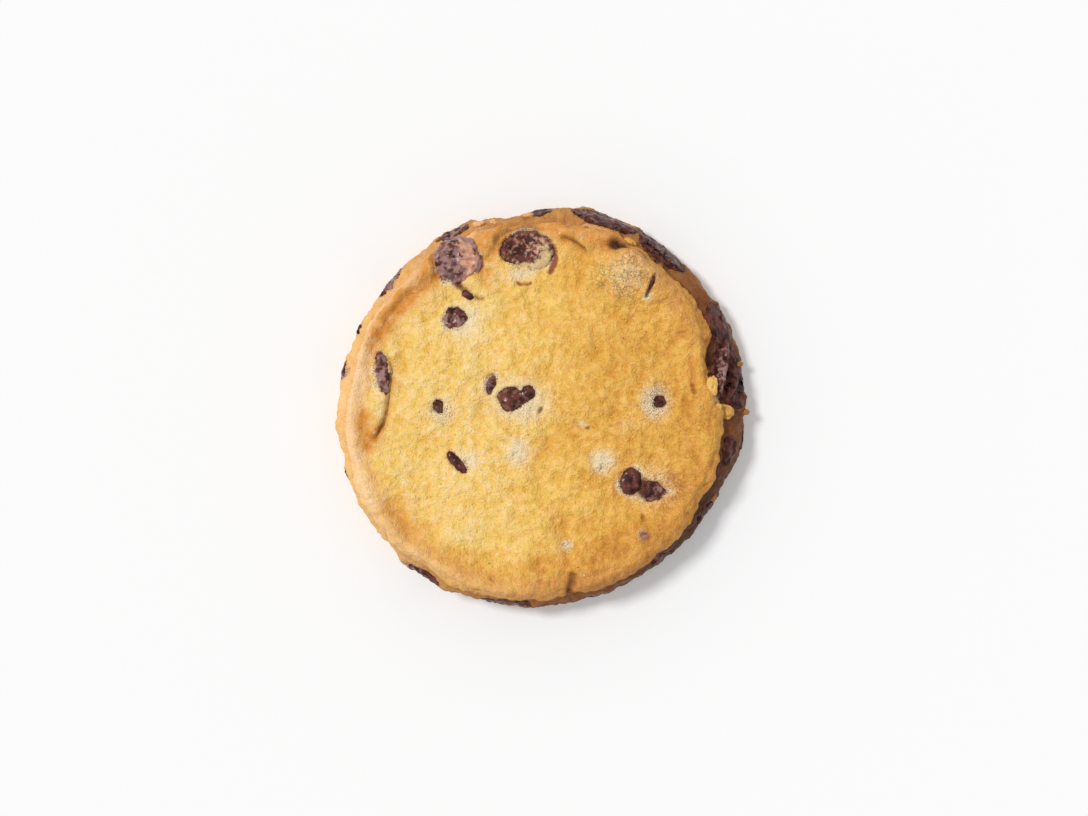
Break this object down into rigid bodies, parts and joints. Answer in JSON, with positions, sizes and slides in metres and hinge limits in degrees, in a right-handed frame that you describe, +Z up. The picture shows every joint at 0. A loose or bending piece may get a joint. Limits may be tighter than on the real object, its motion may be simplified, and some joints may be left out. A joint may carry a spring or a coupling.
{
  "type": "chocolate chip cookie",
  "caption": "Thick round baked cookie with a raised rim, a flared wall and chocolate chips in its top, wall and base.",
  "frame": {"origin": "centre of the flat underside, at the middle of the cookie's box in X and Y", "axes": "+Z up out of the top face; +X and +Y across the cookie, so that the pair of round chips lies towards +Y"},
  "size_m": [0.0778, 0.0756, 0.0145],
  "materials": {
    "baked_dough": "matt baked dough, sandy, golden yellow with a browner rim and wall",
    "chocolate": "melted and set dark chocolate, satin to glossy"
  },
  "bodies": {
    "root": {"chip_base_01": "chocolate", "chip_base_02": "chocolate", "chip_base_03": "chocolate", "chip_base_04": "chocolate", "chip_base_05": "chocolate", "chip_base_06": "chocolate", "chip_base_07": "chocolate", "chip_top_01": "chocolate", "chip_top_02": "chocolate", "chip_top_03": "chocolate", "chip_top_04": "chocolate", "chip_top_05": "chocolate", "chip_top_06": "chocolate", "chip_top_07": "chocolate", "chip_top_08": "chocolate", "chip_top_09": "chocolate", "chip_top_10": "chocolate", "chip_top_11": "chocolate", "chip_top_12": "chocolate", "chip_top_13": "chocolate", "chip_top_14": "chocolate", "chip_wall_01": "chocolate", "chip_wall_02": "chocolate", "chip_wall_03": "chocolate", "chip_wall_04": "chocolate", "chip_wall_05": "chocolate", "chip_wall_06": "chocolate", "chip_wall_07": "chocolate", "chip_wall_08": "chocolate", "chip_wall_09": "chocolate", "chip_wall_10": "chocolate", "chip_wall_11": "chocolate", "chip_wall_12": "chocolate", "chip_wall_13": "chocolate", "chip_wall_14": "chocolate", "chip_wall_15": "chocolate", "chip_wall_16": "chocolate", "chip_wall_17": "chocolate", "dough": "baked_dough"}
  },
  "joints": []
}
